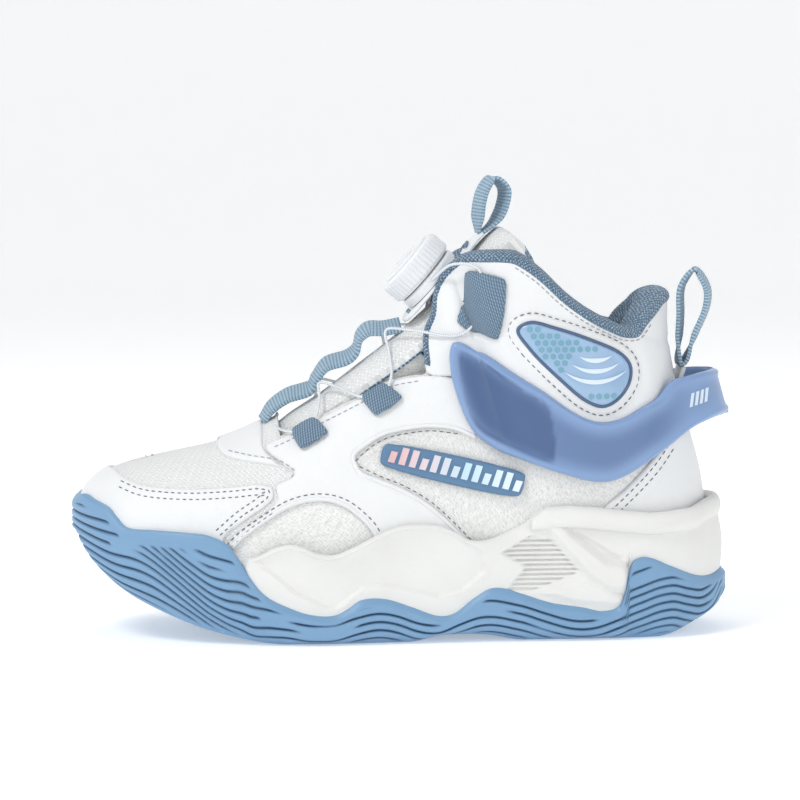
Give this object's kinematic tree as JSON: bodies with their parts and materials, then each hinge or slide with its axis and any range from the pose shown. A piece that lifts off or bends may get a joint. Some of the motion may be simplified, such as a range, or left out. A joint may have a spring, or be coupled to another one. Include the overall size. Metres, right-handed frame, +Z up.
{
  "type": "basketball high top",
  "caption": "Left high-top basketball shoe with a padded ankle collar, a cupped sole, a heel wing and a turning dial that winds wire laces",
  "frame": {"origin": "On the ground under the middle of the shoe's box, on the sole's centre line", "axes": "+Z up, the toe points to -X and the heel to +X, and the outer side of this left shoe faces -Y"},
  "size_m": [0.2523, 0.0906, 0.1734],
  "materials": {
    "outsole_rubber": "moulded rubber with carved grooves, satin",
    "midsole_foam": "moulded foam with a fine skin",
    "white_leather": "smooth coated synthetic leather, stitched edges",
    "white_mesh": "open knitted mesh over foam",
    "lining_fabric": "flecked knitted lining",
    "padding_foam": "soft open foam",
    "inner_board": "stitched fibre board",
    "stiffener_board": "thin moulded stiffener",
    "blue_webbing": "woven webbing",
    "pale_webbing": "ribbed woven webbing",
    "blue_moulding": "translucent moulded strap, satin",
    "blue_lens": "clear moulding over a hexagon pattern",
    "badge_film": "iridescent film on a raised plate",
    "white_plastic": "moulded plastic, satin",
    "knob_rubber": "ribbed grip ring",
    "lace_wire": "coated woven wire",
    "screw_steel": "plated steel"
  },
  "bodies": {
    "shoe": {"outsole": "outsole_rubber", "midsole": "midsole_foam", "heel_clip": "midsole_foam", "shank_plate": "stiffener_board", "lasting_board": "inner_board", "sockliner": "lining_fabric", "toe_cap": "white_leather", "throat_overlay": "white_leather", "heel_overlay": "white_leather", "heel_loop_tab": "white_leather", "vamp_mesh": "white_mesh", "toe_puff": "stiffener_board", "heel_counter": "stiffener_board", "collar_padding": "padding_foam", "collar_lining": "lining_fabric", "heel_wing": "blue_moulding", "quarter_overlay_lateral": "white_leather", "collar_quarter_lateral": "white_leather", "quarter_mesh_lateral": "white_mesh", "ankle_lens_lateral": "blue_lens", "side_badge_lateral": "badge_film", "lace_wire_lateral": "lace_wire", "lace_guide_front_lateral": "blue_webbing", "lace_guide_mid_lateral": "blue_webbing", "lace_guide_collar_lateral": "blue_webbing", "quarter_overlay_medial": "white_leather", "collar_quarter_medial": "white_leather", "quarter_mesh_medial": "white_mesh", "ankle_lens_medial": "blue_lens", "side_badge_medial": "badge_film", "lace_wire_medial": "lace_wire", "lace_guide_front_medial": "blue_webbing", "lace_guide_mid_medial": "blue_webbing", "lace_guide_collar_medial": "blue_webbing"},
    "tongue": {"tongue_cover": "white_mesh", "tongue_foam": "padding_foam", "tongue_lining": "lining_fabric", "tongue_badge": "white_plastic", "instep_webbing": "pale_webbing", "dial_base_plate": "white_plastic", "dial_housing": "white_plastic", "dial_axle_screw": "screw_steel"},
    "tongue_loop": {"tongue_pull_loop": "blue_webbing"},
    "heel_loop": {"heel_pull_loop": "blue_webbing"},
    "spool": {"dial_spool": "white_plastic", "ratchet_disc": "white_plastic"},
    "knob_lifter": {"knob_retainer": "screw_steel"},
    "knob": {"knob_body": "white_plastic", "knob_grip": "knob_rubber", "knob_cap": "blue_moulding"}
  },
  "joints": [
    {"name": "tongue_tilt", "type": "hinge", "parent": "shoe", "child": "tongue", "pos_m": [-0.053, -0.0039, 0.078], "axis": [0, -1, 0], "range_deg": [0, 14], "stiffness_Nm_per_rad": 0.6, "deforming": ["lace_wire_lateral", "lace_wire_medial"]},
    {"name": "tongue_loop_flex", "type": "hinge", "parent": "tongue", "child": "tongue_loop", "pos_m": [0.0302, -0.0039, 0.1508], "axis": [0, -1, 0], "range_deg": [0, 30], "stiffness_Nm_per_rad": 0.02},
    {"name": "heel_loop_flex", "type": "hinge", "parent": "shoe", "child": "heel_loop", "pos_m": [0.1083, 0, 0.1016], "axis": [0, 1, 0], "range_deg": [0, 30], "stiffness_Nm_per_rad": 0.03},
    {"name": "knob_pull", "type": "slide", "parent": "tongue", "child": "knob_lifter", "axis": [-0.7625, 0, 0.647], "range_m": [0, 0.0022]},
    {"name": "knob_turn", "type": "hinge", "parent": "knob_lifter", "child": "knob", "pos_m": [0.0136, -0.0039, 0.132], "axis": [-0.7625, 0, 0.647], "continuous": true},
    {"name": "spool_turn", "type": "hinge", "parent": "tongue", "child": "spool", "pos_m": [0.0136, -0.0039, 0.132], "axis": [-0.7625, 0, 0.647], "continuous": true}
  ],
  "couplings": [
    {"joint": "spool_turn", "follows": "knob_turn", "ratio": 1}
  ]
}
